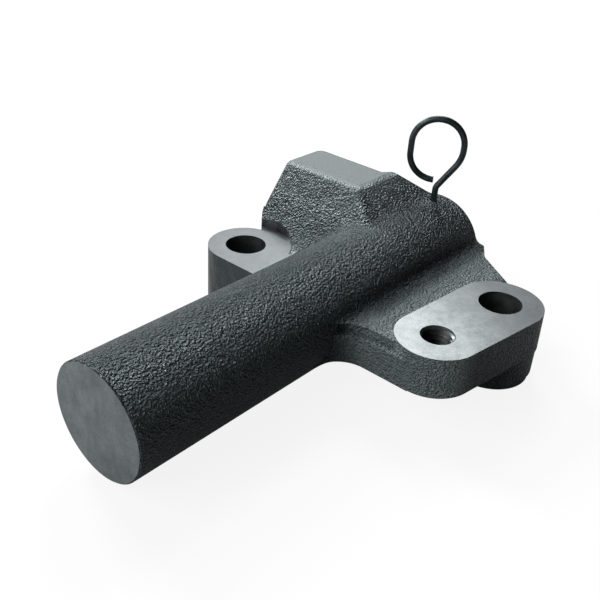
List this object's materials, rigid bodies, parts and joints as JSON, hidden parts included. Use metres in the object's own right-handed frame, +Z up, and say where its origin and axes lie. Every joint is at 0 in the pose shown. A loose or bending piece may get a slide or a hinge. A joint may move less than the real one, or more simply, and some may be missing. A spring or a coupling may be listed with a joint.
{
  "type": "hydraulic timing belt tensioner",
  "caption": "Hydraulic timing belt tensioner with a cast barrel housing, two bolt lugs, a spring-loaded push rod held back by a bent wire set pin, and an oil-filled check valve plunger.",
  "frame": {"origin": "centre of the left bolt hole on its mounting face", "axes": "+X along the barrel towards the push rod, +Y away from the barrel at the left bolt hole, +Z up, away from the mounting face, along the bolts"},
  "size_m": [0.125, 0.0825, 0.0507],
  "materials": {
    "cast_iron": "rough cast, dark phosphate coat, with machined pale pads",
    "ground_steel": "ground",
    "rod_steel": "hardened and ground",
    "pin_steel": "dark oiled wire",
    "spring_steel": "drawn wire",
    "pressed_steel": "pressed sheet",
    "snap_ring_steel": "black oxide",
    "ball_steel": "polished",
    "guide_plastic": "moulded",
    "black_rubber": "moulded",
    "seal_rubber": "moulded"
  },
  "bodies": {
    "housing": {"housing": "cast_iron", "pressure_sleeve": "ground_steel", "sleeve_o_ring": "black_rubber", "return_spring": "spring_steel", "stop_washer": "pressed_steel", "seal_case": "pressed_steel", "seal_lip": "seal_rubber", "garter_spring": "spring_steel", "seal_snap_ring": "snap_ring_steel"},
    "rod": {"push_rod": "rod_steel", "wear_ring": "guide_plastic", "wear_ring_clip": "spring_steel", "spring_seat": "pressed_steel", "plunger_spring": "spring_steel", "plunger": "ground_steel", "valve_seat": "ground_steel", "ball_cage": "pressed_steel", "ball_spring": "spring_steel"},
    "ball": {"check_ball": "ball_steel"},
    "pin": {"set_pin": "pin_steel"}
  },
  "joints": [
    {"name": "rod_extend", "type": "slide", "parent": "housing", "child": "rod", "axis": [1, 0, 0], "range_m": [0, 0.008], "deforming": ["return_spring"]},
    {"name": "pin_pull", "type": "slide", "parent": "housing", "child": "pin", "axis": [0, 0, 1], "range_m": [0, 0.04]},
    {"name": "ball_lift", "type": "slide", "parent": "rod", "child": "ball", "axis": [-1, 0, 0], "range_m": [0, 0.0004], "deforming": ["ball_spring"]}
  ],
  "couplings": [
    {"joint": "pin_pull", "follows": "rod_extend", "ratio": 5}
  ]
}
